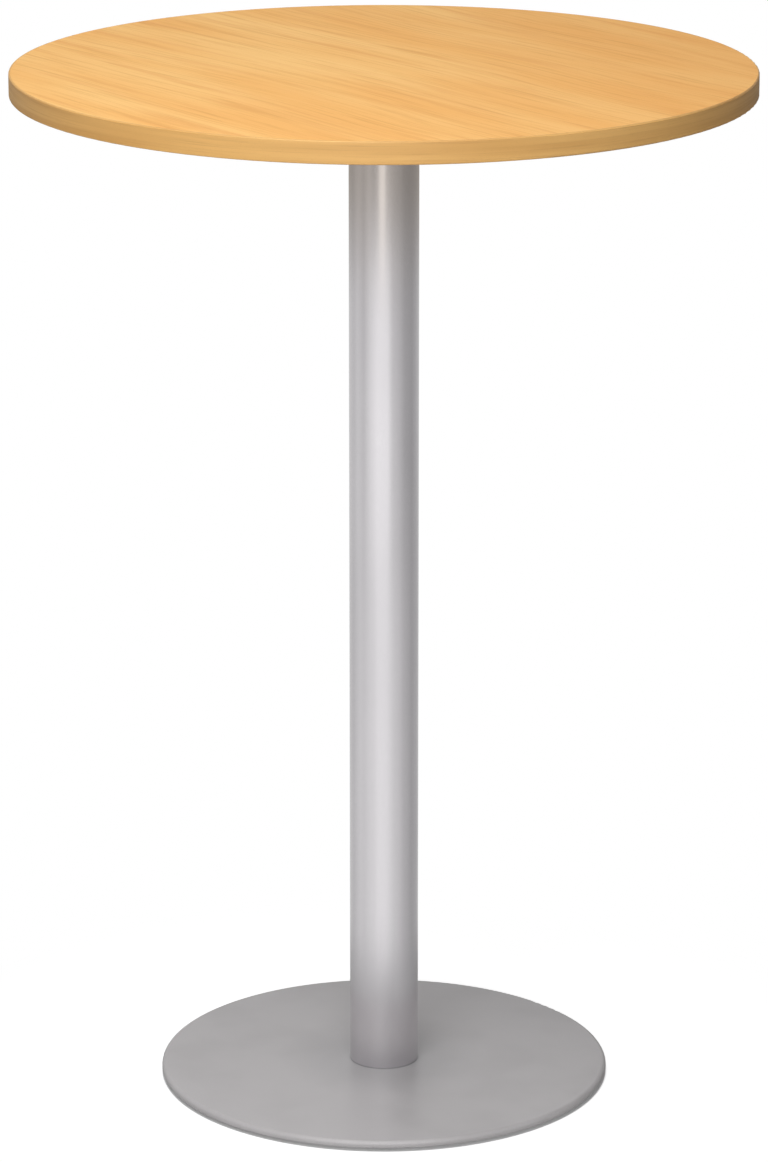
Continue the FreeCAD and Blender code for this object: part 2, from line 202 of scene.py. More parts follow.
class Finish(Surface):
    """The look of a part: colours, roughness and fine relief from noise."""

    def __init__(self, name, roughness, metallic=0.0, specular=0.5):
        super().__init__(name)
        self.shader = self.tree.nodes["Principled BSDF"]
        self.feed(self.shader.inputs["Roughness"], roughness)
        self.feed(self.shader.inputs["Metallic"], metallic)
        self.feed(self.shader.inputs["Specular IOR Level"], specular)
        self.find_coordinates()

    def counted(self, cell, source, turn):
        """Coordinates turned about the upright axis, then counted in cells of that size."""
        turned = self.node("ShaderNodeMapping")
        self.feed(turned.inputs["Vector"], self.coordinates if source is None else source)
        self.feed(turned.inputs["Rotation"], (0, 0, turn))
        counted = self.node("ShaderNodeMapping")
        self.feed(counted.inputs["Vector"], turned.outputs["Vector"])
        self.feed(counted.inputs["Scale"], [1 / part for part in cell])
        return counted.outputs["Vector"]

    def noise(self, cell, detail, roughness=0.5, source=None, turn=0.0):
        """Cloudy noise with cells of that size, from 0 to 1."""
        made = self.node("ShaderNodeTexNoise")
        self.feed(made.inputs["Vector"], self.counted(cell, source, turn))
        self.feed(made.inputs["Scale"], 1)
        self.feed(made.inputs["Detail"], detail)
        self.feed(made.inputs["Roughness"], roughness)
        return made.outputs["Fac"]

    def cells(self, cell, output="Distance", source=None, turn=0.0):
        """Grains of that size: how far from a grain's middle a point lies, or a colour for each grain."""
        made = self.node("ShaderNodeTexVoronoi")
        self.feed(made.inputs["Vector"], self.counted(cell, source, turn))
        self.feed(made.inputs["Scale"], 1)
        return made.outputs[output]

    def lay(self, tone, over, value, start, full, share=1.0):
        """Lays a colour over the tone where a value goes from start to full, up to a share."""
        return self.blend(self.spread(value, start, full, to_high=share), tone, over)

    def paint(self, tone):
        """Paints the part with a tone."""
        self.feed(self.shader.inputs["Base Color"], tone)

    def roughen(self, value, least, most, start=0.3, full=0.7):
        """Lets the roughness go from least to most as a value goes from start to full."""
        self.feed(self.shader.inputs["Roughness"], self.spread(value, start, full, least, most))

    def bump(self, height, depth, strength):
        """Gives the skin a fine relief."""
        made = self.node("ShaderNodeBump")
        self.feed(made.inputs["Height"], height)
        self.feed(made.inputs["Distance"], depth)
        self.feed(made.inputs["Strength"], strength)
        self.feed(self.shader.inputs["Normal"], made.outputs["Normal"])


# how far the grain of the beech print wanders to either side
GRAIN_WANDER = 0.012


def wandering_grain(finish):
    """The coordinates with a slow wander, so that the grain isn't quite straight."""
    wander = finish.noise(cell=(0.7, 0.4, 1), detail=1, turn=GRAIN_TURN)
    offset = finish.spread(wander, low=0.2, high=0.8, to_low=-GRAIN_WANDER, to_high=GRAIN_WANDER)
    bent = finish.node("ShaderNodeCombineXYZ")
    finish.feed(bent.inputs["X"], offset)
    finish.feed(bent.inputs["Y"], offset)
    moved = finish.node("ShaderNodeVectorMath", operation="ADD")
    finish.feed(moved.inputs[0], finish.coordinates)
    finish.feed(moved.inputs[1], bent.outputs["Vector"])
    return moved.outputs["Vector"]


def beech_decor(name):
    """Printed beech under satin resin: broad soft bands, fine lines and short flecks along the grain.

    The print is a little redder towards the right.
    """
    finish = Finish(name, roughness=0.5, specular=0.2)
    grain = {"source": wandering_grain(finish), "turn": GRAIN_TURN}
    bands = finish.noise(cell=(0.4, 0.08, 1), detail=1, **grain)
    streaks = finish.noise(cell=(0.32, 0.022, 1), detail=3, roughness=0.65, **grain)
    lines = finish.noise(cell=(0.16, 0.0042, 1), detail=3, roughness=0.65, **grain)
    flecks = finish.cells(cell=(0.0065, 0.0011, 1), **grain)
    scattered = finish.noise(cell=(0.02, 0.006, 1), detail=1, **grain)
    right, _, _ = finish.parts()
    tone = finish.lay(BEECH_PALE, BEECH_WARM, bands, start=0.3, full=0.7)
    tone = finish.lay(tone, BEECH_RUST, streaks, start=0.45, full=0.75, share=0.6)
    tone = finish.lay(tone, BEECH_RUST, right, start=-0.1, full=0.42, share=0.32)
    tone = finish.lay(tone, BEECH_LINE, lines, start=0.47, full=0.72, share=0.36)
    fleck = finish.spread(flecks, low=0.3, high=0.05, to_low=0, to_high=0.42)
    fleck = finish.combine("MULTIPLY", fleck, finish.spread(scattered, low=0.45, high=0.6))
    finish.paint(finish.blend(fleck, tone, BEECH_LINE))
    finish.roughen(lines, least=0.46, most=0.54)
    finish.bump(finish.combine("SUBTRACT", lines, fleck), depth=0.00008, strength=0.4)
    return finish.material


def balancing_sheet(name):
    """Pale resin paper under the board: a dull mottled film with short fibres pressed in."""
    finish = Finish(name, roughness=0.6, specular=0.3)
    cloud = finish.noise(cell=(0.06, 0.06, 1), detail=3)
    fibres = finish.cells(cell=(0.004, 0.0009, 1), turn=GRAIN_TURN)
    pressed = finish.noise(cell=(0.0016, 0.0016, 1), detail=2)
    tone = finish.lay(SHEET_PALE, SHEET_DUSTY, cloud, start=0.35, full=0.7)
    finish.paint(finish.lay(tone, SHEET_FIBRE, fibres, start=0.25, full=0.05, share=0.4))
    finish.roughen(cloud, least=0.55, most=0.68)
    finish.bump(pressed, depth=0.00008, strength=0.5)
    return finish.material


def unrolled_band(finish):
    """The edging laid out flat: along it, and upwards."""
    strip = finish.node("ShaderNodeCombineXYZ")
    finish.feed(strip.inputs["X"], finish.combine("MULTIPLY", finish.turn(), TOP_RADIUS))
    finish.feed(strip.inputs["Y"], finish.height())
    return strip.outputs["Vector"]


def band_print(name):
    """Beech print along the plastic edging, with its join at the back."""
    finish = Finish(name, roughness=0.45, specular=0.35)
    strip = unrolled_band(finish)
    bands = finish.noise(cell=(0.3, 0.012, 1), detail=1, source=strip)
    lines = finish.noise(cell=(0.12, 0.0016, 1), detail=3, roughness=0.6, source=strip)
    flecks = finish.cells(cell=(0.006, 0.0009, 1), source=strip)
    tone = finish.lay(BAND_PALE, BAND_WARM, bands, start=0.3, full=0.7)
    tone = finish.lay(tone, BAND_LINE, lines, start=0.5, full=0.8, share=0.5)
    finish.paint(finish.lay(tone, BAND_LINE, flecks, start=0.25, full=0.05, share=0.3))
    finish.roughen(lines, least=0.4, most=0.5)
    finish.bump(lines, depth=0.00006, strength=0.4)
    return finish.material


# the painted contact shadow: a dark line in the corner where the column stands on the base plate
CONTACT_SHADOW_WIDTH = 0.0022
CONTACT_SHADOW_SHARE = 0.34
# how much smoother and rougher than its mean the silver coat gets with its orange peel
PEEL_SMOOTHER = 0.015
PEEL_ROUGHER = 0.03


def silver_powder_coat(name, colours, roughness, metallic, specular, measure, corner, corner_shade_width, corner_shade_share):
    """Silver powder coat: metal flakes in a satin skin with a fine orange peel.

    Towards the corner of column and plate it is darker with painted shade, and along the corner runs a line
    of painted contact shadow. The measure is the point's height or its reach from the axis, and the corner is
    where it lies by that measure.
    """
    base, flake, dim = colours
    finish = Finish(name, roughness, metallic, specular)
    peel = finish.noise(cell=(0.0022,) * 3, detail=2)
    flakes = finish.noise(cell=(0.0005,) * 3, detail=1)
    cloud = finish.noise(cell=(0.09, 0.09, 0.25), detail=2)
    tone = finish.lay(base, flake, flakes, start=0.35, full=0.7)
    tone = finish.lay(tone, dim, cloud, start=0.4, full=0.7, share=0.5)
    distance = measure(finish)
    # painted shade towards the corner, then painted contact shadow along it
    for width, share in ((corner_shade_width, corner_shade_share), (CONTACT_SHADOW_WIDTH, CONTACT_SHADOW_SHARE)):
        tone = finish.lay(tone, PAINTED_CORNER_SHADE, distance, start=corner + width, full=corner, share=share)
    finish.paint(tone)
    finish.roughen(peel, least=roughness - PEEL_SMOOTHER, most=roughness + PEEL_ROUGHER)
    finish.bump(peel, depth=0.00004, strength=0.4)
    return finish.material


def tube_coat():
    """The glossier coat of the column."""
    return silver_powder_coat(
        "silver_powder_coat",
        colours=(TUBE_SILVER, TUBE_FLAKE, TUBE_DIM),
        roughness=0.165,
        metallic=0.94,
        specular=0.35,
        measure=Finish.height,
        corner=PLATE_TOP,
        # painted shade on the column towards the plate
        corner_shade_width=0.05,
        corner_shade_share=0.12,
    )


def plate_coat():
    """The duller coat of the base plate."""
    return silver_powder_coat(
        "silver_powder_coat_flat",
        colours=(PLATE_SILVER, PLATE_FLAKE, PLATE_DIM),
        roughness=0.33,
        metallic=0.12,
        specular=0.33,
        measure=Finish.reach,
        corner=COLUMN_RADIUS,
        # painted shade on the plate towards the column
        corner_shade_width=0.09,
        corner_shade_share=0.26,
    )


def chipboard(name):
    """Pressed wood chips, as a drilled hole shows them."""
    finish = Finish(name, roughness=0.9, specular=0.2)
    chips = finish.cells(cell=(0.006, 0.004, 0.0015), output="Color")
    dust = finish.noise(cell=(0.001,) * 3, detail=3)
    tone = finish.lay(CHIP_PALE, CHIP_DARK, chips, start=0.2, full=0.8)
    finish.paint(finish.lay(tone, CHIP_PALE, dust, start=0.4, full=0.7, share=0.5))
    finish.bump(chips, depth=0.0004, strength=0.6)
    return finish.material


def black_powder_coat(name):
    """Black textured coat with the faint grey of its raised grains."""
    finish = Finish(name, roughness=0.55, specular=0.45)
    grains = finish.noise(cell=(0.0009,) * 3, detail=2)
    cloud = finish.noise(cell=(0.03,) * 3, detail=2)
    tone = finish.lay(BLACK_COAT, BLACK_COAT_WORN, grains, start=0.5, full=0.75, share=0.5)
    finish.paint(finish.lay(tone, BLACK_COAT_WORN, cloud, start=0.45, full=0.7, share=0.3))
    finish.roughen(grains, least=0.5, most=0.65)
    finish.bump(grains, depth=0.00015, strength=0.7)
    return finish.material


def turned_steel(name):
    """Plain steel with the rings of the lathe and a dull film of oil."""
    finish = Finish(name, roughness=0.4, metallic=1.0)
    ring = finish.node("ShaderNodeCombineXYZ")
    finish.feed(ring.inputs["X"], finish.reach())
    rings = finish.noise(cell=(0.0006,) * 3, detail=2, source=ring.outputs["Vector"])
    film = finish.noise(cell=(0.02,) * 3, detail=3)
    finish.paint(finish.lay(STEEL, STEEL_DULL, film, start=0.4, full=0.7, share=0.7))
    finish.roughen(rings, least=0.32, most=0.48)
    finish.bump(rings, depth=0.00005, strength=0.5)
    return finish.material


def zinc_plate(name):
    """Bright zinc on small steel parts, yellowed here and there."""
    finish = Finish(name, roughness=0.35, metallic=1.0)
    cloud = finish.noise(cell=(0.004,) * 3, detail=3)
    spangle = finish.cells(cell=(0.0012,) * 3, output="Color")
    tone = finish.lay(ZINC, ZINC_YELLOWED, cloud, start=0.4, full=0.7, share=0.7)
    finish.paint(finish.lay(tone, STEEL, spangle, start=0.3, full=0.9, share=0.25))
    finish.roughen(cloud, least=0.28, most=0.42)
    finish.bump(cloud, depth=0.00003, strength=0.4)
    return finish.material


def moulded_plastic(name):
    """Black moulded plastic with a spark-eroded skin, rubbed greyer in patches."""
    finish = Finish(name, roughness=0.5, specular=0.4)
    skin = finish.noise(cell=(0.0005,) * 3, detail=2)
    rubbed = finish.noise(cell=(0.008,) * 3, detail=3)
    finish.paint(finish.lay(PLASTIC, PLASTIC_RUBBED, rubbed, start=0.5, full=0.75, share=0.6))
    finish.roughen(rubbed, least=0.45, most=0.6, start=0.4)
    finish.bump(skin, depth=0.00006, strength=0.5)
    return finish.material


def dress(name, material):
    """Gives a solid of the frame its finish in place of its plain colour."""
    mesh = nodes[name].data
    mesh.materials.clear()
    mesh.materials.append(material)


def dress_the_frame():
    """Finishes the solids that are kept as they come."""
    dress("top_core", chipboard("chipboard"))
    dress("top_laminate", beech_decor("beech_decor"))
    dress("backing_laminate", balancing_sheet("balancing_sheet"))
    dress("edge_band", band_print("band_print"))
    dress("bracket", black_powder_coat("black_powder_coat"))
    dress("column_tube", tube_coat())
    dress("base_plate", plate_coat())
    steel = turned_steel("plain_steel")
    dress("head_disc", steel)
    dress("foot_disc", steel)


def select_only(piece):
    """Selects one piece and makes it the active one."""
    bpy.ops.object.select_all(action="DESELECT")
    bpy.context.view_layer.objects.active = piece
    piece.select_set(True)


def settle(piece):
    """Works the piece's place, turn and size into its mesh."""
    select_only(piece)
    bpy.ops.object.transform_apply(location=True, rotation=True, scale=True)


def add_cylinder(name, radius, bottom, top, sides):
    """A round blank on the upright axis between two heights, ready to be shaped."""
    bpy.ops.object.select_all(action="DESELECT")
    bpy.ops.mesh.primitive_cylinder_add(
        vertices=sides, radius=radius, depth=top - bottom, location=(0, 0, (top + bottom) / 2),
    )
    blank = bpy.context.active_object
    blank.name = name
    settle(blank)
    return blank


def pick(piece, kind, wanted):
    """Opens the piece for editing with only the wanted faces or edges selected."""
    bpy.ops.object.mode_set(mode="EDIT")
    bpy.ops.mesh.select_mode(type=kind)
    bpy.ops.mesh.select_all(action="DESELECT")
    bpy.ops.object.mode_set(mode="OBJECT")
    parts = piece.data.polygons if kind == "FACE" else piece.data.edges
    for part in parts:
        part.select = wanted(part)
    bpy.ops.object.mode_set(mode="EDIT")


def pick_level_face(piece, height):
    """Picks the flat face that lies across the axis at that height."""

    def is_level(face):
        return abs(face.center.z - height) < HAIR and abs(face.normal.z) > NEARLY_LEVEL

    pick(piece, "FACE", is_level)


def pick_ring(piece, height, radius):
    """Picks the ring of edges at that height and distance from the axis."""
    points = piece.data.vertices

    def lies_there(point):
        return abs(point.z - height) < HAIR and abs(math.hypot(point.x, point.y) - radius) < HAIR

    def on_ring(edge):
        return all(lies_there(points[number].co) for number in edge.vertices)

    pick(piece, "EDGE", on_ring)


def soften_ring(piece, height, radius, rounding, segments):
    """Rounds the ring of edges at that height and distance from the axis."""
    pick_ring(piece, height, radius)
    bpy.ops.mesh.bevel(offset=rounding, segments=segments, affect="EDGES")
    bpy.ops.object.mode_set(mode="OBJECT")


def narrow_picked(share, height):
    """Narrows what is picked, at that height, to a share of its width."""
    bpy.ops.transform.resize(value=(share, share, 1), center_override=(0, 0, height))


def extrude_picked(length):
    """Draws what is picked upwards."""
    bpy.ops.mesh.extrude_region_move(TRANSFORM_OT_translate={"value": (0, 0, length)})


def draw_out(piece, height, narrower, length):
    """Insets the flat face at that height and draws the rest of it out along the axis."""
    pick_level_face(piece, height)
    bpy.ops.mesh.inset(thickness=narrower, depth=0)
    extrude_picked(length)
    bpy.ops.object.mode_set(mode="OBJECT")


def join_solids(piece, other, operation):
    """Adds another solid to the piece, or cuts it out of the piece."""
    select_only(piece)
    change = piece.modifiers.new("join", "BOOLEAN")
    change.operation = operation
    change.solver = "EXACT"
    change.object = other
    bpy.ops.object.modifier_apply(modifier=change.name)
    bpy.data.objects.remove(other)


# a thread's ridge starts inside its core, at this share of the core's radius
THREAD_ROOT = 0.9
# and spreads by this share of the pitch to either side
THREAD_HALF_WIDTH = 0.42


def add_thread(core, crest, start, pitch, turns, steps):
    """A ridge with a three-cornered section that climbs round a core."""
    depth = crest - core * THREAD_ROOT
    section_radius = depth * 2 / 3
    bpy.ops.object.select_all(action="DESELECT")
    bpy.ops.mesh.primitive_circle_add(
        vertices=3, radius=section_radius, location=(crest - section_radius, 0, start),
        rotation=(math.pi / 2, math.pi / 2, 0),
    )
    ridge = bpy.context.active_object
    ridge.name = "thread"
    settle(ridge)
    widest = max(point.co.z for point in ridge.data.vertices) - start
    bpy.ops.object.mode_set(mode="EDIT")
    bpy.ops.mesh.select_all(action="SELECT")
    flattening = pitch * THREAD_HALF_WIDTH / widest
    bpy.ops.transform.resize(value=(1, 1, flattening), center_override=(0, 0, start))
    bpy.ops.object.mode_set(mode="OBJECT")
    climb = ridge.modifiers.new("climb", "SCREW")
    climb.axis = "Z"
    climb.angle = 2 * math.pi * turns
    climb.screw_offset = pitch * turns
    climb.steps = steps * turns
    climb.render_steps = steps * turns
    bpy.ops.object.modifier_apply(modifier=climb.name)
    bpy.ops.object.mode_set(mode="EDIT")
    bpy.ops.mesh.select_all(action="SELECT")
    bpy.ops.mesh.fill_holes(sides=3)
    bpy.ops.mesh.select_all(action="SELECT")
    bpy.ops.mesh.normals_make_consistent(inside=False)
    bpy.ops.object.mode_set(mode="OBJECT")
    return ridge


def close_mesh(piece):
    """Merges what meets, turns every face outwards and shades the round parts smooth."""
    select_only(piece)
    bpy.ops.object.mode_set(mode="EDIT")
    bpy.ops.mesh.select_all(action="SELECT")
    bpy.ops.mesh.remove_doubles(threshold=MERGE_WITHIN)
    bpy.ops.mesh.normals_make_consistent(inside=False)
    bpy.ops.object.mode_set(mode="OBJECT")
    bpy.ops.object.shade_smooth_by_angle(angle=SMOOTH_UNDER)
    flatten = piece.modifiers.new("flatten", "WEIGHTED_NORMAL")
    flatten.keep_sharp = True
    bpy.ops.object.modifier_apply(modifier=flatten.name)


def middle_of(name):
    """Where a solid of the frame stands on the floor plan."""
    low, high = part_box(name)
    return (low[0] + high[0]) / 2, (low[1] + high[1]) / 2


def set_copies(model, kind, numbers, body, material):
    """Puts a copy of the model, with a mesh of its own, in place of each solid of that kind.

    The model itself is removed.
    """
    for number in numbers:
        name = f"{kind}_{number}"
        copy = model.copy()
        copy.data = model.data.copy()
        copy.name = f"made_{name}"
        bpy.context.scene.collection.objects.link(copy)
        copy.location = (*middle_of(name), 0)
        settle(copy)
        copy.data.materials.append(material)
        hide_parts(name)
        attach(copy, body.format(number))
    bpy.data.objects.remove(model)


# the pan-head screws
SCREW_NUMBERS = (1, 2, 3, 4, 5, 6, 7, 8)
SCREW_SIDES = 48
SCREW_HEAD_RADIUS = 0.005
SCREW_HEAD_HEIGHT = 0.003
SCREW_HEAD_ROUNDING = 0.0018
SCREW_HEAD_SEGMENTS = 7
SCREW_CORE = 0.0019
SCREW_CREST = 0.0025
SCREW_LENGTH = 0.020
SCREW_THREAD_START = 0.0045
SCREW_PITCH = 0.0022
SCREW_TURNS = 5
SCREW_THREAD_STEPS = 24
# the point's length, the share by which it starts narrower and the share of its width that its tip keeps
SCREW_POINT = 0.003
POINT_STEP = 0.02
POINT_BLUNT = 0.08
# the cross recess, and the share of its width that its bottom keeps
CROSS_WIDTH = 0.0046
CROSS_SLOT = 0.0011
CROSS_DEPTH = 0.0017
CROSS_TAPER = 0.45


def cut_cross(screw, face_height):
    """Sinks a tapering cross for the driver into the face of the head."""
    for turn in (0, math.pi / 2):
        bpy.ops.object.select_all(action="DESELECT")
        bpy.ops.mesh.primitive_cube_add(size=1, location=(0, 0, face_height), rotation=(0, 0, turn))
        wing = bpy.context.active_object
        wing.scale = (CROSS_WIDTH, CROSS_SLOT, CROSS_DEPTH * 2)
        settle(wing)
        pick_level_face(wing, face_height + CROSS_DEPTH)
        narrow_picked(CROSS_TAPER, face_height + CROSS_DEPTH)
        bpy.ops.object.mode_set(mode="OBJECT")
        join_solids(screw, wing, "DIFFERENCE")


def make_board_screws(zinc):
    """Pan-head screws with a cross recess and a coarse thread, up through the arms into the board."""
    face_height = ARM_UNDERSIDE - SCREW_HEAD_HEIGHT
    tip = ARM_UNDERSIDE + SCREW_LENGTH
    screw = add_cylinder("screw", SCREW_HEAD_RADIUS, face_height, ARM_UNDERSIDE, SCREW_SIDES)
    draw_out(screw, ARM_UNDERSIDE, SCREW_HEAD_RADIUS - SCREW_CORE, SCREW_LENGTH - SCREW_POINT)
    draw_out(screw, tip - SCREW_POINT, SCREW_CORE * POINT_STEP, SCREW_POINT)
    pick_level_face(screw, tip)
    narrow_picked(POINT_BLUNT, tip)
    bpy.ops.object.mode_set(mode="OBJECT")
    soften_ring(screw, face_height, SCREW_HEAD_RADIUS, SCREW_HEAD_ROUNDING, SCREW_HEAD_SEGMENTS)
    thread_start = ARM_UNDERSIDE + SCREW_THREAD_START
    thread = add_thread(SCREW_CORE, SCREW_CREST, thread_start, SCREW_PITCH, SCREW_TURNS, SCREW_THREAD_STEPS)
    join_solids(screw, thread, "UNION")
    cut_cross(screw, face_height)
    close_mesh(screw)
    set_copies(screw, "board_screw", SCREW_NUMBERS, "table", zinc)


# the glides' threaded studs
STUD_SIDES = 64
STUD_HEAD_RADIUS = 0.007
STUD_HEAD_BOTTOM = 0.0012
STUD_HEAD_TOP = 0.0026
STUD_HEAD_CHAMFER = 0.0002
STUD_END = 0.010
STUD_END_CHAMFER = 0.0006
STUD_CHAMFER_SEGMENTS = 2
STUD_CORE = 0.0034
STUD_CREST = 0.004
STUD_THREAD_START = 0.0009
STUD_PITCH = 0.00125
STUD_TURNS = 4
STUD_THREAD_STEPS = 32


def make_glide_studs(zinc):
    """Flat-headed studs with a metric thread, held by the plastic feet and screwed into the base plate."""
    stud = add_cylinder("stud", STUD_HEAD_RADIUS, STUD_HEAD_BOTTOM, STUD_HEAD_TOP, STUD_SIDES)
    draw_out(stud, STUD_HEAD_TOP, STUD_HEAD_RADIUS - STUD_CORE, STUD_END - STUD_HEAD_TOP)
    for height, radius, chamfer in (
        (STUD_END, STUD_CORE, STUD_END_CHAMFER),
        (STUD_HEAD_TOP, STUD_HEAD_RADIUS, STUD_HEAD_CHAMFER),
        (STUD_HEAD_BOTTOM, STUD_HEAD_RADIUS, STUD_HEAD_CHAMFER),
    ):
        soften_ring(stud, height, radius, chamfer, STUD_CHAMFER_SEGMENTS)
    thread_start = STUD_HEAD_TOP + STUD_THREAD_START
    thread = add_thread(STUD_CORE, STUD_CREST, thread_start, STUD_PITCH, STUD_TURNS, STUD_THREAD_STEPS)
    join_solids(stud, thread, "UNION")
    close_mesh(stud)
    set_copies(stud, "glide_stud", QUARTERS, "glide_{}_stud", zinc)


# the countersunk bolts: radii of the thread's crest, its core and the head, then lengths
FOOT_BOLT = {
    "crest": 0.004,
    "core": 0.0034,
    "head": 0.008,
    "length": 0.020,
    "across_flats": 0.005,
    "socket_depth": 0.0028,
    "pitch": 0.00125,
}
HEAD_BOLT = {
    "crest": 0.003,
    "core": 0.0025,
    "head": 0.006,
    "length": 0.016,
    "across_flats": 0.004,
    "socket_depth": 0.0022,
    "pitch": 0.001,
}
BOLT_SIDES = 64
BOLT_END_CHAMFER = 0.0005
BOLT_THREAD_STEPS = 24
SOCKET_SIDES = 6
# where the thread starts above the cone, and how much of the shank it leaves plain in all, both in pitches
BOLT_THREAD_START = 0.7
BOLT_PLAIN = 1.6


def model_bolt(crest, core, head, length, across_flats, socket_depth, pitch):
    """A countersunk bolt with a hexagon socket, its face at the floor and its thread upwards."""
    cone = head - crest
    bolt = add_cylinder("bolt", head, 0, cone, BOLT_SIDES)
    pick_level_face(bolt, cone)
    narrow_picked(core / head, cone)
    extrude_picked(length - cone)
    bpy.ops.object.mode_set(mode="OBJECT")
    soften_ring(bolt, length, core, BOLT_END_CHAMFER, 1)
    turns = int((length - cone - pitch * BOLT_PLAIN) / pitch)
    thread = add_thread(core, crest, cone + pitch * BOLT_THREAD_START, pitch, turns, BOLT_THREAD_STEPS)
    join_solids(bolt, thread, "UNION")
    socket = add_cylinder("socket", across_flats / math.sqrt(3), -socket_depth, socket_depth, SOCKET_SIDES)
    join_solids(bolt, socket, "DIFFERENCE")
    close_mesh(bolt)
    return bolt


def make_bolts(zinc):
    """The bolts that hold the base plate to the column's foot, and the bracket to its head."""
    for kind, sizes, face_height, turn in (
        ("foot_bolt", FOOT_BOLT, PLATE_UNDERSIDE, 0),
        ("head_bolt", HEAD_BOLT, ARM_TOP, math.pi),
    ):
        bolt = model_bolt(**sizes)
        bolt.location.z = face_height
        bolt.rotation_euler.x = turn
        settle(bolt)
        set_copies(bolt, kind, QUARTERS, "table", zinc)


# the glides' plastic feet
PAD_SIDES = 160
PAD_RADIUS = 0.016
PAD_HEIGHT = 0.004
PAD_SOLE_ROUNDING = 0.001
PAD_SOLE_SEGMENTS = 4
PAD_TOP_ROUNDING = 0.0004
PAD_TOP_SEGMENTS = 2
POCKET_PLAY = 0.0001
FLUTE_COUNT = 8
FLUTE_SIDES = 40
FLUTE_RADIUS = 0.004
FLUTE_DEPTH = 0.0008
# the sole's shallow rings, and how much is left flat outside each
RING_COUNT = 2
RING_FLAT = 0.0018
RING_SLOPE = 0.0002
RING_WIDTH = 0.0012
RING_DEPTH = 0.0004


def cut_sole_rings(pad):
    """Sinks shallow grip rings into the sole, one inside the other."""
    pick_level_face(pad, 0)
    for _ in range(RING_COUNT):
        bpy.ops.mesh.inset(thickness=RING_FLAT, depth=0)
        bpy.ops.mesh.inset(thickness=RING_SLOPE, depth=-RING_DEPTH)
        bpy.ops.mesh.inset(thickness=RING_WIDTH, depth=0)
        bpy.ops.mesh.inset(thickness=RING_SLOPE, depth=RING_DEPTH)
    bpy.ops.object.mode_set(mode="OBJECT")


def cut_flutes(pad):
    """Hollows the rim for the fingers."""
    reach = PAD_RADIUS + FLUTE_RADIUS - FLUTE_DEPTH
    for number in range(FLUTE_COUNT):
        turn = 2 * math.pi * number / FLUTE_COUNT
        flute = add_cylinder("flute", FLUTE_RADIUS, -PAD_HEIGHT, PAD_HEIGHT * 2, FLUTE_SIDES)
        flute.location = (reach * math.cos(turn), reach * math.sin(turn), 0)
        settle(flute)
        join_solids(pad, flute, "DIFFERENCE")


def cut_pocket(pad):
    """Hollows the room for the stud's head, and the neck above it for the stud."""
    head = STUD_HEAD_RADIUS + POCKET_PLAY
    bottom = STUD_HEAD_BOTTOM - POCKET_PLAY
    top = STUD_HEAD_TOP + POCKET_PLAY
    join_solids(pad, add_cylinder("pocket", head, bottom, top, STUD_SIDES), "DIFFERENCE")
    neck = STUD_CREST + POCKET_PLAY
    join_solids(pad, add_cylinder("neck", neck, STUD_HEAD_TOP, PAD_HEIGHT * 2, STUD_SIDES), "DIFFERENCE")


def make_glide_pads(plastic):
    """Moulded feet with a fluted rim, grip rings in the sole and a pocket that holds the stud's head."""
    pad = add_cylinder("pad", PAD_RADIUS, 0, PAD_HEIGHT, PAD_SIDES)
    cut_sole_rings(pad)
    soften_ring(pad, 0, PAD_RADIUS, PAD_SOLE_ROUNDING, PAD_SOLE_SEGMENTS)
    soften_ring(pad, PAD_HEIGHT, PAD_RADIUS, PAD_TOP_ROUNDING, PAD_TOP_SEGMENTS)
    cut_flutes(pad)
    cut_pocket(pad)
    close_mesh(pad)
    set_copies(pad, "glide_pad", QUARTERS, "glide_{}_pad", plastic)


def make_small_parts():
    """Screws, studs, bolts and feet, each in place of a plainer solid of the frame."""
    zinc = zinc_plate("zinc_plate")
    make_board_screws(zinc)
    make_glide_studs(zinc)
    make_bolts(zinc)
    make_glide_pads(moulded_plastic("moulded_plastic"))


# camera: at the photograph's angle and without shift, so that it serves every other angle too
CAMERA_PLACE = (0, -5.385, 2.130)
CAMERA_PITCH = math.radians(16.15)
LENS_MM = 158.2
SENSOR_MM = 36


def place_camera():
    """Stands the camera in front of the table."""
    data = bpy.data.cameras.new("camera")
    data.sensor_width = SENSOR_MM
    data.lens = LENS_MM
    camera = bpy.data.objects.new("camera", data)
    camera.location = CAMERA_PLACE
    camera.rotation_euler = (math.pi / 2 - CAMERA_PITCH, 0, 0)
    bpy.context.scene.collection.objects.link(camera)
    bpy.context.scene.camera = camera


# soft lamps: where each stands and aims, its width and height, its power in watts, and whether gloss sees it
SOFTBOXES = {
    "overhead_softbox": ((-0.5, -1.0, 3.4), (0, 0, 1.14), 1.8, 1.8, 48, True),
    "back_softbox": ((-0.8, 2.9, 2.8), (0, 0, 0.9), 2.4, 2.0, 27, False),
    "front_softbox": ((-0.4, -3.3, 2.2), (0, 0, 0.8), 3.0, 2.6, 76, True),
}


def hang_softbox(name, place, aim, width, height, power, in_gloss):
    """A large soft lamp, itself unseen."""
    data = bpy.data.lights.new(name, "AREA")
    data.shape = "RECTANGLE"
    data.size = width
    data.size_y = height
    data.energy = power
    lamp = bpy.data.objects.new(name, data)
    lamp.location = place
    lamp.rotation_euler = (Vector(aim) - Vector(place)).to_track_quat("-Z", "Y").to_euler()
    lamp.visible_camera = False
    lamp.visible_glossy = in_gloss
    bpy.context.scene.collection.objects.link(lamp)


# how bright the background is for all rays that don't see it white
AMBIENT = 0.14


def light_the_world():
    """A dim even light all round, and white where the background itself is seen."""
    world = bpy.data.worlds.new("studio")
    bpy.context.scene.world = world
    world.use_nodes = True
    sky = Shading(world.node_tree)
    light = sky.blend(sky.background_rays(), grey(AMBIENT), grey(1.0))
    sky.feed(sky.tree.nodes["Background"].inputs["Color"], light)


